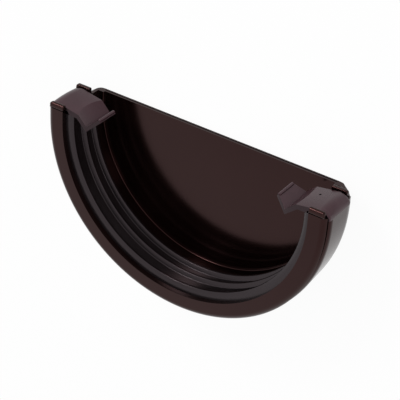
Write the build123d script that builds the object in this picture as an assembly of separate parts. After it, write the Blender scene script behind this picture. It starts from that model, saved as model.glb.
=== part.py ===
# Stop end for a 125 mm half-round gutter: moulded housing, rubber seal and two springy retaining clips.
# Sizes are in millimetres. Drawing is done with the half-round centre line as the Y axis, the open face
# at Y = 0, the end wall at the back and Z up out of the gutter. Every piece is then laid on its back:
# the end wall lies on Z = 0, the opening faces up, the rims point to +Y, and the centre line is the Z axis.
import os
from math import atan2, cos, degrees, pi, sqrt

from build123d import *

os.makedirs("parts", exist_ok=True)

# Housing: radii start from the ledge, which is as wide as the inside of the gutter
ledge_radius = 62.9        # edge that the end of the gutter stops against
ledge_width = 3.1          # ledge to the bore of the mouth: the gutter's wall and its play
channel_cut = 5.0          # depth of the seal channel behind the mouth
shell_wall = 4.0           # channel floor to the widest ring of the shell
flange_step = 1.1          # front flange below the widest ring
side_draft = 0.7           # fall of the shell from the widest ring to the rear rounding
depth = 30.3               # open face to the back of the end wall
end_wall = 2.2
rear_round = 11.0          # large rounding between shell and end wall
collar_wall = 1.6          # wall that shows at the rim behind the rear end stops
corner_round = 3.2         # corner of that wall
swell_height = 7.0         # the shell swells from that wall to its full width over this height
flange_depth = 2.6         # front lip of the seal channel
collar_length = 4.4        # channel to the ledge
ledge_depth = 1.1          # ledge in front of the end wall
face_round = 1.5           # rounding of the outer front edge
groove_front = 4.3         # fine groove round the outside, behind the flange
groove_width = 0.7
groove_cut = 0.7
edge_length = 1.8          # groove to the widest ring
rim_height = 6.5           # straight sides above the half-round centre
rim_line_width = 0.6       # fine line along the top of the end wall
rim_line_cut = 0.4

# End stops that stand on the rim in front of and behind each clip
stop_rise = 2.9
stop_sink = 0.4            # foot of each stop below the rim
stop_width = 7.8
stop_inset = 0.3           # outer side of a stop inside the flange
front_stop_depth = 2.0
rear_stop_depth = 2.0
stop_corner = 1.2          # outer top corner of a stop
stop_edge = 0.5

# Seal
seal_gap = 0.05            # seal to channel, all round
seal_base = 6.65           # strip between channel floor and the valleys
ridge_height = 2.1
ridge_width = 1.2          # at the tip
first_ridge = 0.05         # first ridge behind the front of the seal
second_ridge = 8.8
third_ridge = 16.1
front_flank = 1.1          # how much wider a ridge is at its root, toward the mouth
back_flank = 1.2           # and toward the end wall
seal_end_drop = 2.1        # ends of the seal below the rim

# Clips, drawn for the right side
clip_length = 17.8         # along the gutter
clip_gap = 0.1             # clip to the end stops and to the shell
clip_lift = 0.05           # underside of the plate above the rim
rear_stop_gap = 0.9        # dark slot behind the clip
skirt_thick = 1.4
skirt_drop = 1.6           # lower edge of the skirt below the rim
shoulder_rise = 2.9        # highest line of the plate above the rim
shoulder_round = 4.4
shoulder_bow = 0.6         # ends of the shoulder below its middle
plate_fall = 2.7           # slope of the plate toward the trough
plate_reach = 4.5          # crease inboard of the ledge
leg_drop = 4.5             # crease to the bottom of the valley
leg_reach = 4.9
tab_reach = 5.3            # finger tab, valley to tip
tab_rise = 3.9
tab_cut = 3.1              # each side of the tab narrows by this much
sheet = 1.5                # finger tab
leg_thick = 2.1
scoop = 1.0                # hollow of the leg's upper face
bead_radius = 0.85         # rounded tip of the tab
end_round = 0.7            # corners at both ends of a clip's shoulder
gate_radius = 0.6          # small moulding dimple in the plate of the right clip
gate_depth = 0.7
gate_out = 0.7             # dimple outboard of the ledge
gate_back = 2.7            # dimple behind the middle of the clip

# Sizes that follow
mouth_radius = ledge_radius + ledge_width
channel_radius = mouth_radius + channel_cut
body_radius = channel_radius + shell_wall
flange_radius = body_radius - flange_step
side_radius = body_radius - side_draft
flat_radius = side_radius - rear_round
groove_back = groove_front + groove_width
ledge_front = depth - end_wall - ledge_depth
channel_back = ledge_front - collar_length
body_front = groove_back + edge_length
side_back = depth - rear_round
clip_front = front_stop_depth + clip_gap
clip_back = clip_front + clip_length
rear_stop_front = clip_back + rear_stop_gap
skirt_line = flange_radius + clip_gap          # inner side of the skirt, over a hollow in the shell
skirt_bottom = rim_height - skirt_drop
rear_stop_back = rear_stop_front + rear_stop_depth


def lay_down(shape):
    """Turns a piece from the drawing position onto the back of the end wall."""
    return Pos(0, 0, depth) * Rot(-90, 0, 0) * shape


def half_round(profile, height):
    """Half a turn below the centre line, with straight sides of the given height above it."""
    side = extrude(profile, amount=height, dir=(0, 0, 1))
    return revolve(profile, Axis.Y, 180) + side + mirror(side, Plane.YZ)


# Housing profile, radius along X and depth along Y
with BuildSketch(Plane.XY) as housing_profile:
    with BuildLine():
        Polyline(
            (0, depth), (0, depth - end_wall), (ledge_radius, depth - end_wall), (ledge_radius, ledge_front),
            (mouth_radius, ledge_front), (mouth_radius, channel_back), (channel_radius, channel_back),
            (channel_radius, flange_depth), (mouth_radius, flange_depth), (mouth_radius, 0),
            (flange_radius - face_round, 0),
        )
        RadiusArc((flange_radius - face_round, 0), (flange_radius, face_round), -face_round)
        Polyline(
            (flange_radius, face_round), (flange_radius, groove_front),
            (flange_radius - groove_cut, groove_front), (flange_radius - groove_cut, groove_back),
            (flange_radius, groove_back),
        )
        RadiusArc((flange_radius, groove_back), (body_radius, body_front), -1.4 * edge_length)
        Line((body_radius, body_front), (side_radius, side_back))
        RadiusArc((side_radius, side_back), (flat_radius, depth), -rear_round)
        Line((flat_radius, depth), (0, depth))
    make_face()

housing = half_round(housing_profile.sketch, rim_height)


# Behind the rear end stops the shell swells from the thin wall at the rim to its full width
def level_cut(height):
    """Right half behind the rear end stops, cut level at this height above the foot of the swelling."""
    share = cos(pi / 2 * height / swell_height)
    side = mouth_radius + collar_wall + share * (body_radius - mouth_radius - collar_wall)
    corner = corner_round + share * (depth - rear_stop_back - corner_round - clip_gap)
    with BuildSketch(Plane.XY.offset(rim_height - swell_height + height)) as cut:
        with BuildLine():
            Polyline((side - corner, depth), (0, depth), (0, rear_stop_back), (side, rear_stop_back),
                     (side, depth - corner))
            RadiusArc((side, depth - corner), (side - corner, depth), -corner)
        make_face()
    return cut.sketch.face()


swelling = loft([level_cut(swell_height * share) for share in (0, 0.3, 0.6, 0.8, 1)])
above = Pos(0, (rear_stop_back + depth) / 2, rim_height - swell_height / 2) * Box(
    2.2 * body_radius, depth - rear_stop_back, swell_height
)
housing -= above - swelling - mirror(swelling, Plane.YZ)


def shell_radius(y):
    """Outer radius of the shell on its rear rounding."""
    return flat_radius + sqrt(rear_round**2 - max(0.0, y - side_back) ** 2)


def rim_stop(outer, front, length):
    """Right-hand end stop: a block on the rim with a rounded outer corner."""
    foot = rim_height - stop_sink
    top = rim_height + stop_rise
    block = Pos(outer - stop_width / 2, front + length / 2, (foot + top) / 2) * Box(stop_width, length, top - foot)
    long_edges = block.edges().filter_by(Axis.Y).group_by(Axis.Z)[-1].sort_by(Axis.X)
    block = fillet(long_edges[-1], stop_corner)
    return fillet(block.faces().sort_by(Axis.Z)[-1].edges(), stop_edge)


front_stop = rim_stop(flange_radius - stop_inset, 0.0, front_stop_depth)
rear_stop = rim_stop(shell_radius(rear_stop_front + rear_stop_depth) - stop_inset, rear_stop_front, rear_stop_depth)
for stop in (front_stop, rear_stop):
    housing += stop + mirror(stop, Plane.YZ)

# Hollows in the shell for the skirts of the clips
recess_length = clip_length + 2 * clip_gap
recess_low = skirt_bottom - clip_gap
recess = Pos(flange_radius + skirt_thick, (clip_front + clip_back) / 2, (recess_low + rim_height) / 2) * Box(
    2 * skirt_thick, recess_length, rim_height - recess_low
)
housing -= recess
housing -= mirror(recess, Plane.YZ)

# Fine line along the top of the end wall
housing -= Pos(0, depth - end_wall / 2, rim_height - rim_line_cut / 2) * Box(
    2 * flat_radius, rim_line_width, rim_line_cut
)

# Seal profile: a strip with three narrow ridges that lean on the outside of the gutter
seal_front = flange_depth + seal_gap
seal_back = channel_back - seal_gap
seal_outer = channel_radius - seal_gap
valley_radius = seal_outer - seal_base
tip_radius = valley_radius - ridge_height
seal_points = [(seal_outer, seal_front), (valley_radius, seal_front)]
for place in (first_ridge, second_ridge, third_ridge):
    start = seal_front + place + front_flank
    seal_points += [
        (valley_radius, start - front_flank),
        (tip_radius, start),
        (tip_radius, start + ridge_width),
        (valley_radius, start + ridge_width + back_flank),
    ]
seal_points += [(valley_radius, seal_back), (seal_outer, seal_back)]
seal_profile = make_face(Polyline(*seal_points, close=True))
rubber_seal = half_round(seal_profile, rim_height - seal_end_drop)

# Clip section across the gutter: plate, leg into the trough and finger tab
plate_under = rim_height + clip_lift
shoulder_z = rim_height + shoulder_rise
crease_x = ledge_radius - plate_reach
crease_z = shoulder_z - plate_fall
valley_x = crease_x - leg_reach
valley_z = crease_z - leg_drop
tip_x = valley_x - tab_reach
tip_z = valley_z + tab_rise
skirt_side = skirt_line + skirt_thick
shoulder_foot = shoulder_z - shoulder_round
with BuildSketch(Plane.XZ) as clip_section:
    with BuildLine():
        RadiusArc((skirt_side, shoulder_foot), (skirt_side - shoulder_round, shoulder_z), -shoulder_round)
        Polyline(
            (skirt_side - shoulder_round, shoulder_z), (skirt_line - shoulder_round, shoulder_z),
            (crease_x, crease_z), (valley_x, valley_z), (tip_x, tip_z),
            (tip_x - 0.6 * sheet, tip_z - 0.8 * sheet), (valley_x, valley_z - 1.3 * leg_thick),
            (crease_x + leg_thick / 2, crease_z - leg_thick), (mouth_radius - 2.5, crease_z - leg_thick),
            (mouth_radius - 1.2, plate_under), (skirt_line, plate_under), (skirt_line, skirt_bottom),
            (skirt_side, skirt_bottom), (skirt_side, shoulder_foot),
        )
    make_face()
right_clip = Pos(0, clip_back, 0) * extrude(clip_section.sketch, amount=clip_length)
end_faces = right_clip.faces().filter_by(Axis.Y)
outer_corners = [
    edge for face in end_faces for edge in face.edges()
    if edge.center().X > channel_radius and edge.center().Z > crease_z
]
right_clip = fillet(outer_corners, end_round)

# The shoulder is bowed: its ends are lower than its middle
middle_y = (clip_front + clip_back) / 2
bow_radius = (clip_length**2 / 4 + shoulder_bow**2) / (2 * shoulder_bow)
right_clip &= Pos(skirt_line / 2, middle_y, shoulder_z - bow_radius) * Rot(0, 90, 0) * Cylinder(
    bow_radius, 2 * skirt_line
)

# The tab narrows toward its tip, which ends in a rounded bead
tab_half = clip_length / 2 - tab_cut
for side in (-1, 1):
    corner = Polyline(
        (valley_x, side * clip_length / 2), (tip_x, side * tab_half), (tip_x - tab_reach, side * tab_half),
        (tip_x - tab_reach, side * clip_length), (valley_x, side * clip_length), close=True,
    )
    right_clip -= Pos(0, middle_y, valley_z - depth) * extrude(make_face(corner), amount=2 * depth, dir=(0, 0, 1))
bead = Pos(tip_x, middle_y, tip_z - bead_radius * 0.6) * Rot(90, 0, 0) * Cylinder(bead_radius, 2 * tab_half)
right_clip += bead

# Hollow upper face of the leg: a wide cylinder along the leg's slope that also bows the crease outward
leg_length = sqrt(leg_reach**2 + leg_drop**2)
leg_angle = degrees(atan2(leg_drop, leg_reach))
scoop_radius = (clip_length**2 / 4 + scoop**2) / (2 * scoop)
past_crease = 4 * scoop
roller = Pos(past_crease / 2, 0, scoop_radius - scoop) * Rot(0, 90, 0) * Cylinder(
    scoop_radius, 0.98 * leg_length + past_crease
)
scoop_place = Pos((crease_x + valley_x) / 2, middle_y, (crease_z + valley_z) / 2)
right_clip -= scoop_place * Rot(0, -leg_angle, 0) * roller

# The left clip mirrors the right one, which alone has a small moulding dimple
left_clip = mirror(right_clip, Plane.YZ)
right_clip -= Pos(ledge_radius + gate_out, middle_y + gate_back, shoulder_z) * Cylinder(
    gate_radius, 2 * plate_fall + gate_depth
)

housing = lay_down(housing)
rubber_seal = lay_down(rubber_seal)
left_clip = lay_down(left_clip)
right_clip = lay_down(right_clip)
for name, shape in (
    ("housing", housing), ("rubber_seal", rubber_seal), ("left_clip", left_clip), ("right_clip", right_clip),
):
    export_step(shape, f"parts/{name}.step")
    print(name, "valid", shape.is_valid, "volume", round(shape.volume), shape.bounding_box())
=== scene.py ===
import math

import bmesh
import bpy
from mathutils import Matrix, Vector


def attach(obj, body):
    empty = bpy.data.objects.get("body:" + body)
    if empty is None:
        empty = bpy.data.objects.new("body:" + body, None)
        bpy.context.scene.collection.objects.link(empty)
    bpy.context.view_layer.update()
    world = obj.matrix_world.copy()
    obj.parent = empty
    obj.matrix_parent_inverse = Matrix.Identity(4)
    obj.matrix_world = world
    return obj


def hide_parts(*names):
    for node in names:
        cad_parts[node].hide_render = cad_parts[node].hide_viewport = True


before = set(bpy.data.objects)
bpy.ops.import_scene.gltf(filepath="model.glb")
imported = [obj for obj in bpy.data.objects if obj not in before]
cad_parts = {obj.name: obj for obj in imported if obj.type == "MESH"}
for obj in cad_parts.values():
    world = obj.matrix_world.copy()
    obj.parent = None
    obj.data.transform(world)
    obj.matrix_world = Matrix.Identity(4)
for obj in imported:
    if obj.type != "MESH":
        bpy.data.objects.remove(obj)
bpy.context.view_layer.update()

print("stop end: model loaded")


# Shader maths: a value is a node's output, and sums and products of values add their own nodes
class Value:
    def __init__(self, tree, socket=None):
        self.tree = tree
        self.socket = socket

    def node(self, kind, settings=None, sockets=None, output=0):
        made = self.tree.nodes.new(kind)
        for name, setting in (settings or {}).items():
            setattr(made, name, setting)
        for name, given in (sockets or {}).items():
            if isinstance(given, Value):
                self.tree.links.new(given.socket, made.inputs[name])
            else:
                made.inputs[name].default_value = given
        return Value(self.tree, made.outputs[output] if len(made.outputs) else None)

    def maths(self, operation, other):
        return self.node("ShaderNodeMath", {"operation": operation}, {0: self, 1: other})

    def __add__(self, other):
        return self.maths("ADD", other)

    def __mul__(self, other):
        return self.maths("MULTIPLY", other)

    __radd__ = __add__
    __rmul__ = __mul__

    def within(self, low, high):  # 0 below low, 1 above high, smooth between them
        return self.node(
            "ShaderNodeMapRange", {"interpolation_type": "SMOOTHSTEP"},
            {"Value": self, "From Min": low, "From Max": high},
        )


def newMaterial(name):
    material = bpy.data.materials.new(name)
    material.use_nodes = True
    material.node_tree.nodes.clear()
    return material, Value(material.node_tree)


def mixColours(sheet, share, first, second):  # the node's colours go in at 6 and 7 and come out at 2
    sockets = {"Factor": share, 6: first, 7: second}
    return sheet.node("ShaderNodeMix", {"data_type": "RGBA"}, sockets, output=2)


def noise(sheet, place, scale, detail):
    return sheet.node("ShaderNodeTexNoise", {}, {"Vector": place, "Scale": scale, "Detail": detail})


# A moulded surface: broad patches of slight wear, fine grain in relief, and a gloss with a tint.
# Where the look has a colour for shaded ends, the faces that are cut square to Z and face +Z take it:
# painted shade on that side of the part.
def mouldedMaterial(name, look):
    material, sheet = newMaterial(name)
    place = sheet.node("ShaderNodeTexCoord", output="Object")
    patches = noise(sheet, place, look["patchScale"], look["patchDetail"])
    grain = noise(sheet, place, look["grainScale"], look["grainDetail"])
    colour = mixColours(sheet, patches.within(*look["wornRange"]), look["colour"], look["wornColour"])
    if "shadedEndColour" in look:
        # painted shade on the faces that look along +Z
        facing = sheet.node("ShaderNodeTexCoord", output="Normal")
        shadedEnds = sheet.node("ShaderNodeSeparateXYZ", {}, {"Vector": facing}, output="Z")
        colour = mixColours(sheet, shadedEnds.within(*look["shadedEndRange"]), colour, look["shadedEndColour"])
    relief = sheet.node("ShaderNodeBump", {}, {
        "Height": grain, "Distance": look["grainDepth"], "Strength": look["grainStrength"],
    })
    shader = sheet.node("ShaderNodeBsdfPrincipled", {}, {
        "Base Color": colour,
        "Roughness": look["roughness"] + look["roughnessSpread"] * patches,
        "Specular IOR Level": look["specular"],
        "Specular Tint": look["glossTint"],
        "Normal": relief,
    })
    sheet.node("ShaderNodeOutputMaterial", {}, {"Surface": shader})
    return material


# The brown that the eye sees is mostly the white studio in the gloss, so the plastic's own colour is darker
housingLook = {
    "colour": (0.0020, 0.0007, 0.0006, 1),
    "wornColour": (0.0036, 0.0014, 0.0013, 1),
    "wornRange": (0.35, 0.8),
    "glossTint": (1.0, 0.46, 0.44, 1),
    "roughness": 0.11,
    "roughnessSpread": 0.06,
    "specular": 0.34,
    "patchScale": 34.0,
    "patchDetail": 5.0,
    "grainScale": 2600.0,
    "grainDetail": 2.0,
    "grainDepth": 0.000012,  # metres
    "grainStrength": 0.5,
}

sealLook = {
    "colour": (0.0022, 0.0018, 0.0021, 1),
    "wornColour": (0.0040, 0.0034, 0.0038, 1),  # bloom on the rubber
    "wornRange": (0.4, 0.75),
    "glossTint": (1.0, 0.8, 0.86, 1),
    "roughness": 0.2,
    "roughnessSpread": 0.1,
    "specular": 0.43,
    "patchScale": 60.0,
    "patchDetail": 6.0,
    "grainScale": 1800.0,
    "grainDetail": 3.0,
    "grainDepth": 0.00003,
    "grainStrength": 0.5,
}

clipLook = {
    "colour": (0.024, 0.0095, 0.0125, 1),
    "wornColour": (0.034, 0.0150, 0.0190, 1),
    "wornRange": (0.4, 0.75),
    # painted shade: the clip's faces that look along +Z are darkened with this colour
    "shadedEndColour": (0.003, 0.0012, 0.0014, 1),
    "shadedEndRange": (0.75, 0.97),
    "glossTint": (1.0, 0.68, 0.76, 1),
    "roughness": 0.22,
    "roughnessSpread": 0.14,
    "specular": 0.4,
    "patchScale": 90.0,
    "patchDetail": 6.0,
    "grainScale": 2200.0,
    "grainDetail": 2.0,
    "grainDepth": 0.00002,
    "grainStrength": 0.5,
}

housingPlastic = mouldedMaterial("chocolateGlossPlastic", housingLook)
sealRubber = mouldedMaterial("ribbedBlackRubber", sealLook)
clipPlastic = mouldedMaterial("satinBrownPlastic", clipLook)
print("stop end: finishes ready")


modelling = {
    "seedSize": 0.001,  # plane that is merged into the first point of an outline, metres
    "weldDistance": 0.000002,  # corners this close are one, metres
    "tolerance": 0.01,  # for finding points and edges by their place, millimetres
    "halfRoundSteps": 96,
    "rodSides": 24,
    "smoothAngle": 33,  # degrees
    "flatFaceWeight": 50,  # how much a large face turns the shading of its edges to itself
}


def millimetres(*numbers):
    return Vector(numbers) * 0.001


# Drawing in edit mode: an outline starts as one point, which is carried through the corners
def placePoint(place):
    bpy.ops.mesh.merge(type="CENTER")
    bpy.ops.transform.translate(value=place)


def startPiece(name, place):
    bpy.ops.object.select_all(action="DESELECT")
    bpy.ops.mesh.primitive_plane_add(size=modelling["seedSize"], location=(0, 0, 0))
    bpy.context.object.name = name
    bpy.ops.object.mode_set(mode="EDIT")
    bpy.ops.mesh.select_all(action="SELECT")
    placePoint(place)
    return bpy.context.object


def carryPoint(corners):
    for last, corner in zip(corners, corners[1:]):
        bpy.ops.mesh.extrude_region_move(TRANSFORM_OT_translate={"value": corner - last})


def arcPoints(middle, radius, start, end, steps):  # degrees, in the plane of the outline
    turns = [math.radians(start + (end - start) * step / steps) for step in range(steps + 1)]
    return [(middle[0] + radius * math.cos(turn), middle[1] + radius * math.sin(turn)) for turn in turns]


def weldAll():
    bpy.ops.mesh.select_all(action="SELECT")
    bpy.ops.mesh.remove_doubles(threshold=modelling["weldDistance"])


def closeMesh():  # welds, turns the faces outwards and leaves edit mode
    bpy.ops.mesh.select_mode(type="VERT")
    weldAll()
    bpy.ops.mesh.normals_make_consistent(inside=False)
    bpy.ops.object.mode_set(mode="OBJECT")


# Points and edges are picked by a test on their place, in millimetres
def pickPoints(test):
    bpy.ops.mesh.select_mode(type="VERT")
    bpy.ops.mesh.select_all(action="DESELECT")
    mesh = bmesh.from_edit_mesh(bpy.context.object.data)
    for point in mesh.verts:
        point.select = test(point.co * 1000)
    mesh.select_flush_mode()
    bmesh.update_edit_mesh(bpy.context.object.data)


def pickEdges(test):
    bpy.ops.mesh.select_mode(type="EDGE")
    bpy.ops.mesh.select_all(action="DESELECT")
    mesh = bmesh.from_edit_mesh(bpy.context.object.data)
    for edge in mesh.edges:
        edge.select_set(test(edge.verts[0].co * 1000, edge.verts[1].co * 1000, edge))
    bmesh.update_edit_mesh(bpy.context.object.data)


def bevelPicked(width, segments):
    bpy.ops.mesh.bevel(offset=width * 0.001, segments=segments, affect="EDGES")


def selectOnly(piece):
    bpy.ops.object.select_all(action="DESELECT")
    piece.select_set(True)
    bpy.context.view_layer.objects.active = piece


def editAll(piece):
    selectOnly(piece)
    bpy.ops.object.mode_set(mode="EDIT")
    bpy.ops.mesh.select_all(action="SELECT")


def addModifier(piece, kind, **settings):
    bpy.context.view_layer.objects.active = piece
    modifier = piece.modifiers.new(kind.lower(), kind)
    for name, setting in settings.items():
        setattr(modifier, name, setting)
    bpy.ops.object.modifier_apply(modifier=modifier.name)


def smooth(piece):
    selectOnly(piece)
    bpy.ops.object.shade_smooth_by_angle(angle=math.radians(modelling["smoothAngle"]))


def softenEdges(piece, width, segments=2, angle=30):
    addModifier(
        piece, "BEVEL", width=width * 0.001, segments=segments, limit_method="ANGLE",
        angle_limit=math.radians(angle),
    )
    smooth(piece)


def cutAway(piece, cutter):
    addModifier(piece, "BOOLEAN", object=cutter, operation="DIFFERENCE", solver="EXACT")
    bpy.data.objects.remove(cutter)


def joinTo(piece, parts):
    selectOnly(piece)
    for part in parts:
        part.select_set(True)
    bpy.ops.object.join()


def mirrorCopy(piece, name):  # the same shape on the other side of X = 0
    selectOnly(piece)
    bpy.ops.object.duplicate()
    copy = bpy.context.object
    copy.name = name
    editAll(copy)
    bpy.ops.transform.mirror(constraint_axis=(True, False, False), center_override=(0, 0, 0))
    bpy.ops.mesh.normals_make_consistent(inside=False)
    bpy.ops.object.mode_set(mode="OBJECT")
    return copy


def addBlock(name, low, high):
    bpy.ops.object.select_all(action="DESELECT")
    bpy.ops.mesh.primitive_cube_add(size=1, location=(0, 0, 0))
    block = bpy.context.object
    block.name = name
    editAll(block)
    bpy.ops.transform.resize(value=millimetres(*high) - millimetres(*low), center_override=(0, 0, 0))
    bpy.ops.transform.translate(value=(millimetres(*high) + millimetres(*low)) / 2)
    bpy.ops.object.mode_set(mode="OBJECT")
    return block


def addRod(name, radius, length, place, pitch=0):  # along Z, or turned about X by pitch degrees
    bpy.ops.object.select_all(action="DESELECT")
    bpy.ops.mesh.primitive_cylinder_add(
        vertices=modelling["rodSides"], radius=radius * 0.001, depth=length * 0.001, location=(0, 0, 0)
    )
    rod = bpy.context.object
    rod.name = name
    editAll(rod)
    if pitch:
        bpy.ops.transform.rotate(value=math.radians(pitch), orient_axis="X", center_override=(0, 0, 0))
    bpy.ops.transform.translate(value=millimetres(*place))
    bpy.ops.object.mode_set(mode="OBJECT")
    return rod


def finishPiece(piece, material, node):
    addModifier(piece, "WEIGHTED_NORMAL", keep_sharp=True, weight=modelling["flatFaceWeight"])
    piece.data.materials.clear()
    piece.data.materials.append(material)
    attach(piece, "root")
    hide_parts(node)
    print("stop end:", piece.name, "ready,", len(piece.data.polygons), "faces")


# Half a turn round Z, and straight on from there up to the rims. A closed outline has an end on each side
# of the axis, and one that begins and ends on the axis has a single end across both sides.
def spinHalfRound(name, outline, rimHeight, closed):
    corners = [millimetres(radius, 0, height) for radius, height in outline]
    piece = startPiece(name, corners[0])
    carryPoint(corners + corners[:1] if closed else corners)
    weldAll()
    bpy.ops.mesh.spin(steps=modelling["halfRoundSteps"], angle=math.pi, center=(0, 0, 0), axis=(0, 0, 1))
    weldAll()
    for side in ((1, -1) if closed else (0,)):
        pickEdges(lambda a, b, edge: edge.is_boundary and abs(a.y) + abs(b.y) < modelling["tolerance"]
                  and (not side or a.x * side > 0))
        bpy.ops.mesh.extrude_region_move(TRANSFORM_OT_translate={"value": millimetres(0, rimHeight, 0)})
        bpy.ops.mesh.edge_face_add()
    closeMesh()
    return piece


# Housing, in millimetres: radii from the centre line, heights from the outer face of the end wall
housingShape = {
    "depth": 30.3,
    "wall": 2.2,  # end wall
    "ledge": 62.9,  # radius that the end of the gutter stops against
    "ledgeTop": 3.3,
    "ledgeRound": 0.4,
    "ledgeSteps": 4,
    "mouth": 66.0,
    "channel": 71.0,
    "channelLow": 7.7,
    "channelHigh": 27.7,
    "flange": 74.9,
    "faceRound": 3.2,
    "faceStart": 28,  # degrees, where the rounding of the flange leaves the line behind it
    "faceSteps": 7,
    "widest": 74.97,
    "widestHeight": 24.1,
    "lip": ((0.15, 1.2), (0.5, 0.5), (1.05, 0.0)),  # inside the widest ring, and below the line
    "lineLow": 26.3,  # line round the outside, behind the flange
    "lineHigh": 28.3,
    "lineRadius": 72.5,
    "flat": 63.3,
    "rearRound": 11.0,
    "rearSteps": 14,
    "rimHeight": 6.5,
    "rimLineWidth": 0.6,
    "rimLineCut": 0.4,
    "recess": 73.9,  # seat of a clip's skirt in the side of the shell
    "recessLow": 4.8,
    "recessStart": 10.3,
    "recessEnd": 28.3,
    "edgeSoftness": 0.2,
    "beyond": 80.0,  # cutters reach past the part to here on both sides
    "clear": 1.0,  # and this far above the rim and below the end wall
}


def housingOutline():
    shape = housingShape
    rear = arcPoints((shape["flat"], shape["rearRound"]), shape["rearRound"], -90, 0, shape["rearSteps"])
    middle = (shape["flange"] - shape["faceRound"], shape["depth"] - shape["faceRound"])
    face = arcPoints(middle, shape["faceRound"], shape["faceStart"], 90, shape["faceSteps"])
    middle = (shape["ledge"] + shape["ledgeRound"], shape["ledgeTop"] - shape["ledgeRound"])
    ledge = arcPoints(middle, shape["ledgeRound"], 90, 180, shape["ledgeSteps"])
    lip = [(shape["widest"] - inside, shape["lineLow"] - below) for inside, below in shape["lip"]]
    return [(0, 0)] + rear + [(shape["widest"], shape["widestHeight"])] + lip + [
        (shape["lineRadius"], shape["lineLow"]), (shape["lineRadius"], shape["lineHigh"]),
    ] + face + [
        (shape["mouth"], shape["depth"]), (shape["mouth"], shape["channelHigh"]),
        (shape["channel"], shape["channelHigh"]), (shape["channel"], shape["channelLow"]),
        (shape["mouth"], shape["channelLow"]), (shape["mouth"], shape["ledgeTop"]),
    ] + ledge + [(shape["ledge"], shape["wall"]), (0, shape["wall"])]


# The shell's rear swells from a thin wall at the rim to its full width, which is cut out of a block
swellShape = {
    "steps": 8,
    "top": 7.5,
    "fall": 7.0,  # below the rim, where the full width is reached
    "wall": 1.6,
    "corner": 3.2,
    "cornerMore": 4.2,
    "cornerSteps": 10,
    "overlap": 0.02,
    "clearance": 0.1,
}


def makeSwelling():
    shape = swellShape
    thin = housingShape["mouth"] + shape["wall"]
    top = shape["top"] + shape["clearance"]
    levels = []
    for step in range(shape["steps"] + 1):
        share = step / shape["steps"]
        fullness = math.cos(math.pi / 2 * share)
        side = thin + fullness * (housingShape["widest"] - thin)
        corner = shape["corner"] + fullness * shape["cornerMore"]
        height = housingShape["rimHeight"] - shape["fall"] * (1 - share)
        if share == 0:
            height -= shape["overlap"]
        if share == 1:
            height += shape["overlap"]
        outline = [(0, top), (side, top)]
        centre = (side - corner, corner - shape["overlap"])
        outline += arcPoints(centre, corner, 0, -90, shape["cornerSteps"])
        outline += [(0, -shape["overlap"])]
        levels.append([millimetres(x, height, z) for x, z in outline])
    swelling = startPiece("swelling", levels[0][0])
    carryPoint(levels[0] + levels[0][:1])
    for level in levels[1:]:
        bpy.ops.mesh.select_mode(type="VERT")
        bpy.ops.mesh.select_all(action="DESELECT")
        bpy.ops.mesh.primitive_plane_add(size=modelling["seedSize"], location=(0, 0, 0))
        placePoint(level[0])
        carryPoint(level + level[:1])
    weldAll()
    bpy.ops.mesh.bridge_edge_loops()
    for height in (levels[0][0].y * 1000, levels[-1][0].y * 1000):
        pickEdges(lambda a, b, edge: edge.is_boundary
                  and abs(a.y - height) + abs(b.y - height) < modelling["tolerance"])
        bpy.ops.mesh.edge_face_add()
    closeMesh()
    return swelling


# End stops of the clips on the rims: x from and to, z from and to, and whether the front is rounded
stopShape = {
    "frontStop": (65.8, 73.6, 28.3, 30.3, True),
    "rearStop": (65.6, 73.4, 7.5, 9.5, False),
    "foot": 6.1,
    "top": 9.4,
    "corner": (1.2, 5),  # outer top corner: width and steps of the rounding
    "frontRound": (1.3, 7),
    "edge": (0.45, 3),
    "edgesFrom": (6.6, 7.2),  # the lower and the upper end of a softened edge are above these heights
    "edgeAngle": 40,  # degrees
    "level": 0.1,  # an edge that rises less than this is level
    "rearShift": -0.6,  # the photograph shows both rear stops a little to the left
    "rearShiftLeft": -1.2,
}


def rimStop(name):
    shape = stopShape
    inner, outer, low, high, rounded = shape[name]
    stop = addBlock(name, (inner, shape["foot"], low), (outer, shape["top"], high))
    editAll(stop)
    slack, middle = modelling["tolerance"], (inner + outer) / 2
    pickEdges(lambda a, b, edge: min(a.y, b.y) > shape["top"] - slack and min(a.x, b.x) > middle
              and abs(a.z - b.z) > slack)
    bevelPicked(*shape["corner"])
    if rounded:
        pickEdges(lambda a, b, edge: min(a.z, b.z) > high - slack and abs(a.y - b.y) < shape["level"])
        bevelPicked(*shape["frontRound"])
    lower, upper = shape["edgesFrom"]
    pickEdges(lambda a, b, edge: min(a.y, b.y) > lower and max(a.y, b.y) > upper
              and len(edge.link_faces) == 2 and edge.calc_face_angle() > math.radians(shape["edgeAngle"]))
    bevelPicked(*shape["edge"])
    closeMesh()
    return stop


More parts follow.
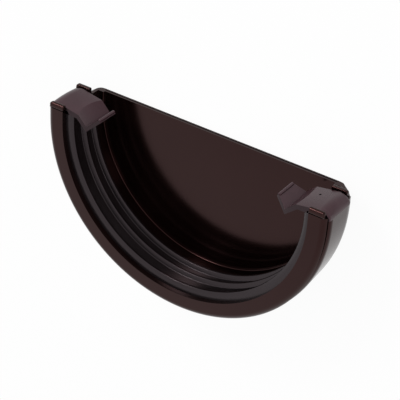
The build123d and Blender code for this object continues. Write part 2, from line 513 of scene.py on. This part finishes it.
def makeHousing():
    shape = housingShape
    rim, beyond, clear = shape["rimHeight"], shape["beyond"], shape["clear"]
    piece = spinHalfRound("housingShell", housingOutline(), rim, False)
    above = addBlock("aboveSwelling", (-beyond, rim - swellShape["fall"], -clear),
                     (beyond, rim + swellShape["clearance"], swellShape["top"]))
    swelling = makeSwelling()
    cutAway(above, mirrorCopy(swelling, "swellingLeft"))
    cutAway(above, swelling)
    cutAway(piece, above)
    low, high = (shape["wall"] - shape["rimLineWidth"]) / 2, (shape["wall"] + shape["rimLineWidth"]) / 2
    cutAway(piece, addBlock("rimLine", (-shape["flat"], rim - shape["rimLineCut"], low),
                            (shape["flat"], rim + clear, high)))
    for left, right in ((shape["recess"], beyond), (-beyond, -shape["recess"])):
        cutAway(piece, addBlock("skirtRecess", (left, shape["recessLow"], shape["recessStart"]),
                                (right, rim + clear, shape["recessEnd"])))
    softenEdges(piece, shape["edgeSoftness"])
    stops = [rimStop("frontStop"), rimStop("rearStop")]
    stops += [mirrorCopy(stop, stop.name + "Left") for stop in stops]
    for stop, shift in ((stops[1], stopShape["rearShift"]), (stops[3], stopShape["rearShiftLeft"])):
        editAll(stop)
        bpy.ops.transform.translate(value=millimetres(shift, 0, 0))
        bpy.ops.object.mode_set(mode="OBJECT")
    for stop in stops:
        smooth(stop)
    joinTo(piece, stops)
    finishPiece(piece, housingPlastic, "housing")


# Seal: a strip in the channel with three ridges. Behind a ridge the floor is deeper and rises to the next.
sealShape = {
    "outer": 70.95,
    "valley": 64.3,
    "tip": 62.2,
    "high": 27.65,
    "low": 7.75,
    "ridges": ((27.65, 65.1), (18.85, 64.8), (11.65, 64.3)),  # front of a ridge, radius of the floor behind
    "frontFlank": 1.1,
    "width": 1.2,
    "backFlank": 1.2,
    "rimHeight": 4.4,
    "edgeSoftness": 0.19,
}


def makeSeal():
    shape = sealShape
    outline = [(shape["outer"], shape["high"])]
    for start, behind in shape["ridges"]:
        tipFront = start - shape["frontFlank"]
        tipBack = tipFront - shape["width"]
        outline += [(shape["valley"], start), (shape["tip"], tipFront), (shape["tip"], tipBack)]
        outline += [(behind, tipBack - shape["backFlank"])]
    outline += [(shape["valley"], shape["low"]), (shape["outer"], shape["low"])]
    piece = spinHalfRound("sealStrip", outline, shape["rimHeight"], True)
    softenEdges(piece, shape["edgeSoftness"], segments=3)
    finishPiece(piece, sealRubber, "rubber_seal")


# A clip hangs over the rim: skirt, plate, scooped leg down to the valley, finger tab that rises to a bead.
# In millimetres, corners as (x, y): out from the middle, and up from the centre of the half round.
clipShape = {
    "low": 10.4,
    "high": 28.2,
    "rows": 16,
    "skirtInner": 74.0,
    "skirtOuter": 75.4,
    "skirtBottom": 4.9,
    "shoulder": 9.4,
    "shoulderRound": 4.4,
    "shoulderSteps": 10,
    "bow": 0.6,  # ends of the shoulder below its middle
    "bowAbove": 7.2,  # only what is higher than this is bowed
    "flatEnd": 69.6,
    "crease": (58.4, 6.8),
    "creaseUnder": (1.05, -2.1),  # from a corner of the upper face to the one under it
    "valleyUnder": (0, -2.73),
    "tipUnder": (-0.9, -1.2),
    "under": 6.55,  # underside on the rim
    "underSlope": (63.5, 64.8),
    "creasePull": (0.974, 0.229),  # the way that the middle of the crease is pulled
    "valleyPull": (0.676, -0.736),
    "tabFrom": 50.0,
    "tabNarrow": 0.652,
    "beadRadius": 0.85,
    "beadLength": 11.6,
    "beadDrop": 0.51,
    "beadSoftness": 0.3,
    "edgeSoftness": 0.22,
    "edgeAngle": 24,  # degrees, flatter edges stay as they are
    "endRound": (0.7, 3),  # width and steps
    "endRoundFrom": 70.2,
    "endAngle": 1,  # radians between the faces of such an edge, at least
    "dimple": (63.6, 8.2, 16.6),
    "dimpleRadius": 0.6,
    "dimpleLength": 2.0,
}

# The two clips fold a little differently; crease and scoop are how far the middle of each line is pulled
leftFold = {"valley": (53.9, 2.2), "tip": (49.0, 6.0), "crease": 2.02, "scoop": 1.0}
rightFold = {"valley": (53.5, 2.3), "tip": (48.2, 6.2), "crease": 0.8, "scoop": 0.4}


def clipSection(fold):
    shape = clipShape
    outer, corner = shape["skirtOuter"], shape["shoulderRound"]
    centre = (outer - corner, shape["shoulder"] - corner)
    shoulder = arcPoints(centre, corner, 0, 90, shape["shoulderSteps"])

    def moved(corner, step):
        return corner[0] + step[0], corner[1] + step[1]

    creaseBelow = moved(shape["crease"], shape["creaseUnder"])
    return [(shape["skirtInner"], shape["skirtBottom"]), (outer, shape["skirtBottom"])] + shoulder + [
        (shape["flatEnd"], shape["shoulder"]), shape["crease"], fold["valley"], fold["tip"],
        moved(fold["tip"], shape["tipUnder"]), moved(fold["valley"], shape["valleyUnder"]), creaseBelow,
        (shape["underSlope"][0], creaseBelow[1]), (shape["underSlope"][1], shape["under"]),
        (shape["skirtInner"], shape["under"]),
    ]


def shapeRow(fold, height, along):  # along runs from -1 to 1, from one end of the clip to the other
    shape = clipShape
    hollow = 1 - along * along

    def inRow(co):
        return abs(co.z - height) < modelling["tolerance"]

    def at(co, corner):
        return inRow(co) and max(abs(co.x - corner[0]), abs(co.y - corner[1])) < modelling["tolerance"]

    pickPoints(lambda co: inRow(co) and co.y > shape["bowAbove"])
    bpy.ops.transform.translate(value=millimetres(0, -shape["bow"] * along * along, 0))
    pickPoints(lambda co: at(co, shape["crease"]))
    bpy.ops.transform.translate(value=millimetres(*shape["creasePull"], 0) * fold["crease"] * hollow)
    pickPoints(lambda co: at(co, fold["valley"]))
    bpy.ops.transform.translate(value=millimetres(*shape["valleyPull"], 0) * fold["scoop"] * hollow)


def clipBody(name, fold):
    shape = clipShape
    middle, length = (shape["low"] + shape["high"]) / 2, shape["high"] - shape["low"]
    step = length / shape["rows"]
    corners = [millimetres(x, y, shape["low"]) for x, y in clipSection(fold)]
    piece = startPiece(name, corners[0])
    carryPoint(corners + corners[:1])
    weldAll()
    bpy.ops.mesh.edge_face_add()
    for row in range(shape["rows"]):
        bpy.ops.mesh.extrude_region_move(TRANSFORM_OT_translate={"value": millimetres(0, 0, step)})
    for row in range(shape["rows"] + 1):
        height = shape["low"] + row * step
        shapeRow(fold, height, 2 * (height - middle) / length)
    pickPoints(lambda co: co.x < shape["tabFrom"])
    bpy.ops.transform.resize(value=(1, 1, shape["tabNarrow"]), center_override=millimetres(0, 0, middle))

    def atEnd(a, b, edge):  # outer edges of both end faces, but not the underside
        slack = modelling["tolerance"]
        atFace = abs(a.z - b.z) < slack and abs(a.z - middle) > length / 2 - slack
        outside = min(a.x, b.x) > shape["endRoundFrom"] and min(a.y, b.y) > shape["skirtBottom"] - slack
        underside = max(abs(a.y - shape["under"]), abs(b.y - shape["under"])) < slack
        return atFace and outside and not underside and edge.calc_face_angle() > shape["endAngle"]

    pickEdges(atEnd)
    bevelPicked(*shape["endRound"])
    closeMesh()
    softenEdges(piece, shape["edgeSoftness"], angle=shape["edgeAngle"])
    place = (fold["tip"][0], fold["tip"][1] - shape["beadDrop"], middle)
    bead = addRod("bead", shape["beadRadius"], shape["beadLength"], place)
    softenEdges(bead, shape["beadSoftness"], segments=3)
    joinTo(piece, [bead])
    return piece


def makeClips():
    shape = clipShape
    twin = clipBody("clipTwin", leftFold)
    left = mirrorCopy(twin, "leftClipBody")
    bpy.data.objects.remove(twin)
    right = clipBody("rightClipBody", rightFold)
    drill = addRod("drill", shape["dimpleRadius"], shape["dimpleLength"], shape["dimple"], pitch=90)
    cutAway(right, drill)
    for clip, node in ((right, "right_clip"), (left, "left_clip")):
        smooth(clip)
        finishPiece(clip, clipPlastic, node)


makeHousing()
makeSeal()
makeClips()


# Studio: camera as in the photograph, pale floor, white surroundings, one soft lamp above the rims on the
# left and a weaker one on the right
studio = {
    "cameraPlace": (0.30075, 0.35028, 0.48814),
    "cameraTurn": (-31.5596, 34.2487, 3.7271),  # degrees
    "lens": 132.1,
    "nearest": 0.05,
    "farthest": 20,
    "floorSize": 6.0,
    "floorDrop": 0.0002,
    "floorWhite": 0.8,
    "floorSeen": 0.94,  # share of plain white in the floor, as the camera sees it
    "floorShine": 0.8,  # and as gloss mirrors it
    "skyLevel": 0.8,
    "keyPlace": (-0.5, 0.78, 0.62),
    "keySize": 0.36,
    "keyPower": 5.5,
    "fillPlace": (0.8, 0.18, 0.75),
    "fillSize": 0.4,
    "fillPower": 0.8,
}

camera = bpy.data.objects.new("camera", bpy.data.cameras.new("camera"))
camera.location = studio["cameraPlace"]
camera.rotation_euler = [math.radians(angle) for angle in studio["cameraTurn"]]
camera.data.lens = studio["lens"]
camera.data.clip_start, camera.data.clip_end = studio["nearest"], studio["farthest"]
bpy.context.scene.collection.objects.link(camera)
bpy.context.scene.camera = camera


def addLamp(name, place, size, power):  # a round lamp that looks at the part
    bpy.ops.object.light_add(type="AREA", location=place)
    lamp = bpy.context.object
    lamp.name = name
    lamp.data.shape, lamp.data.size, lamp.data.energy = "DISK", size, power
    lamp.rotation_euler = (-Vector(place)).to_track_quat("-Z", "Y").to_euler()


addLamp("keyLamp", studio["keyPlace"], studio["keySize"], studio["keyPower"])
addLamp("fillLamp", studio["fillPlace"], studio["fillSize"], studio["fillPower"])


def rays(sheet, kind):
    return sheet.node("ShaderNodeLightPath", output="Is " + kind + " Ray")


bpy.ops.mesh.primitive_plane_add(size=studio["floorSize"], location=(0, 0, -studio["floorDrop"]))
floor = bpy.context.object
floor.name = "floor"
floorPaint, sheet = newMaterial("paleFloor")
matte = sheet.node("ShaderNodeBsdfDiffuse", {}, {"Color": (studio["floorWhite"],) * 3 + (1,)})
white = sheet.node("ShaderNodeEmission", {}, {"Color": (1, 1, 1, 1), "Strength": 1.0})
whiteShare = sheet.node("ShaderNodeMath", {"operation": "ADD", "use_clamp": True}, {
    0: studio["floorSeen"] * rays(sheet, "Camera"),
    1: studio["floorShine"] * rays(sheet, "Glossy") + rays(sheet, "Transmission"),
})
painted = sheet.node("ShaderNodeMixShader", {}, {0: whiteShare, 1: matte, 2: white})
sheet.node("ShaderNodeOutputMaterial", {}, {"Surface": painted})
floor.data.materials.append(floorPaint)

world = bpy.data.worlds.new("studio")
bpy.context.scene.world = world
world.use_nodes = True
world.node_tree.nodes.clear()
sheet = Value(world.node_tree)
whiter = (rays(sheet, "Camera") + rays(sheet, "Glossy")) * (1 - studio["skyLevel"])
sky = sheet.node("ShaderNodeBackground", {}, {
    "Color": (1, 1, 1, 1), "Strength": whiter + studio["skyLevel"],
})
sheet.node("ShaderNodeOutputWorld", {}, {"Surface": sky})
bpy.context.scene.view_settings.view_transform = "Standard"
print("stop end: studio ready")
